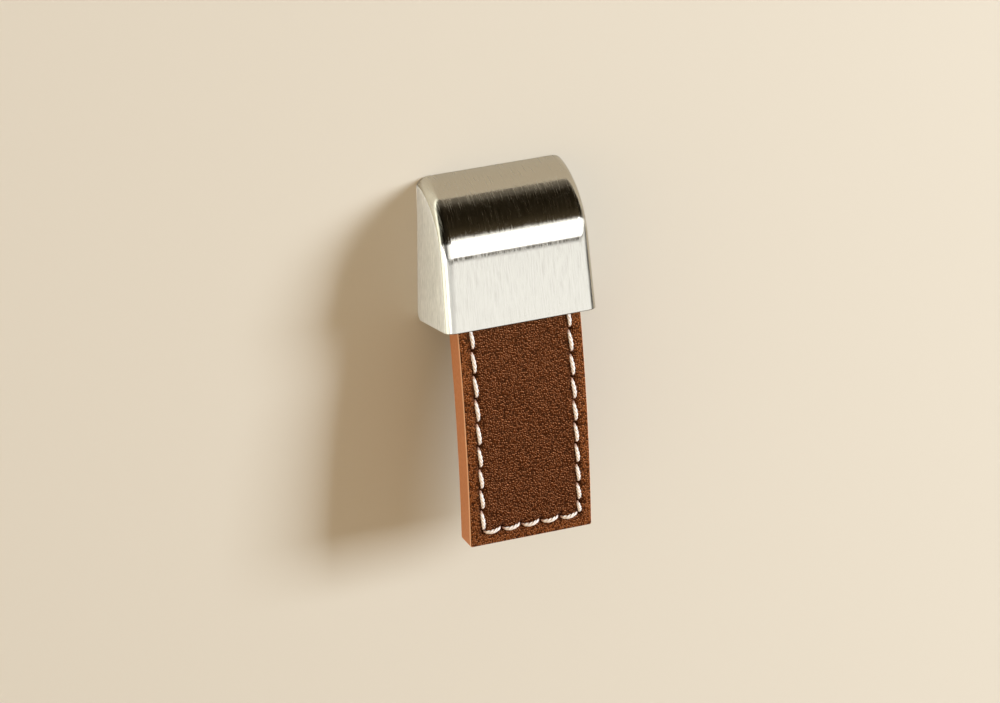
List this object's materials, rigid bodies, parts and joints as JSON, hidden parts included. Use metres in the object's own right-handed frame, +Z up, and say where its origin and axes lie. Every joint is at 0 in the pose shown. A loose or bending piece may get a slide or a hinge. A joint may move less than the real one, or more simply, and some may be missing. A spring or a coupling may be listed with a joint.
{
  "type": "cabinet knob",
  "caption": "Cabinet knob with a curved brushed nickel hood and a stitched leather tab to pull by, held to the door by one screw from behind.",
  "frame": {"origin": "on the fixing screw's axis, in the plane of the hood's back, which lies on the door", "axes": "+X right, +Y into the door, +Z up, so the knob's front faces -Y"},
  "size_m": [0.0228, 0.0343, 0.0519],
  "materials": {
    "nickel": "brushed satin nickel plating, grain running up the face",
    "leather": "brown pebbled leather with tan cut edges",
    "thread": "off-white waxed sewing thread",
    "steel": "bright zinc-plated steel"
  },
  "bodies": {
    "root": {"hood": "nickel", "leather_tab": "leather", "front_thread": "thread", "back_thread": "thread", "clamp_plate": "steel", "clamp_screw_left": "steel", "clamp_screw_right": "steel", "fixing_screw": "steel"}
  },
  "joints": []
}
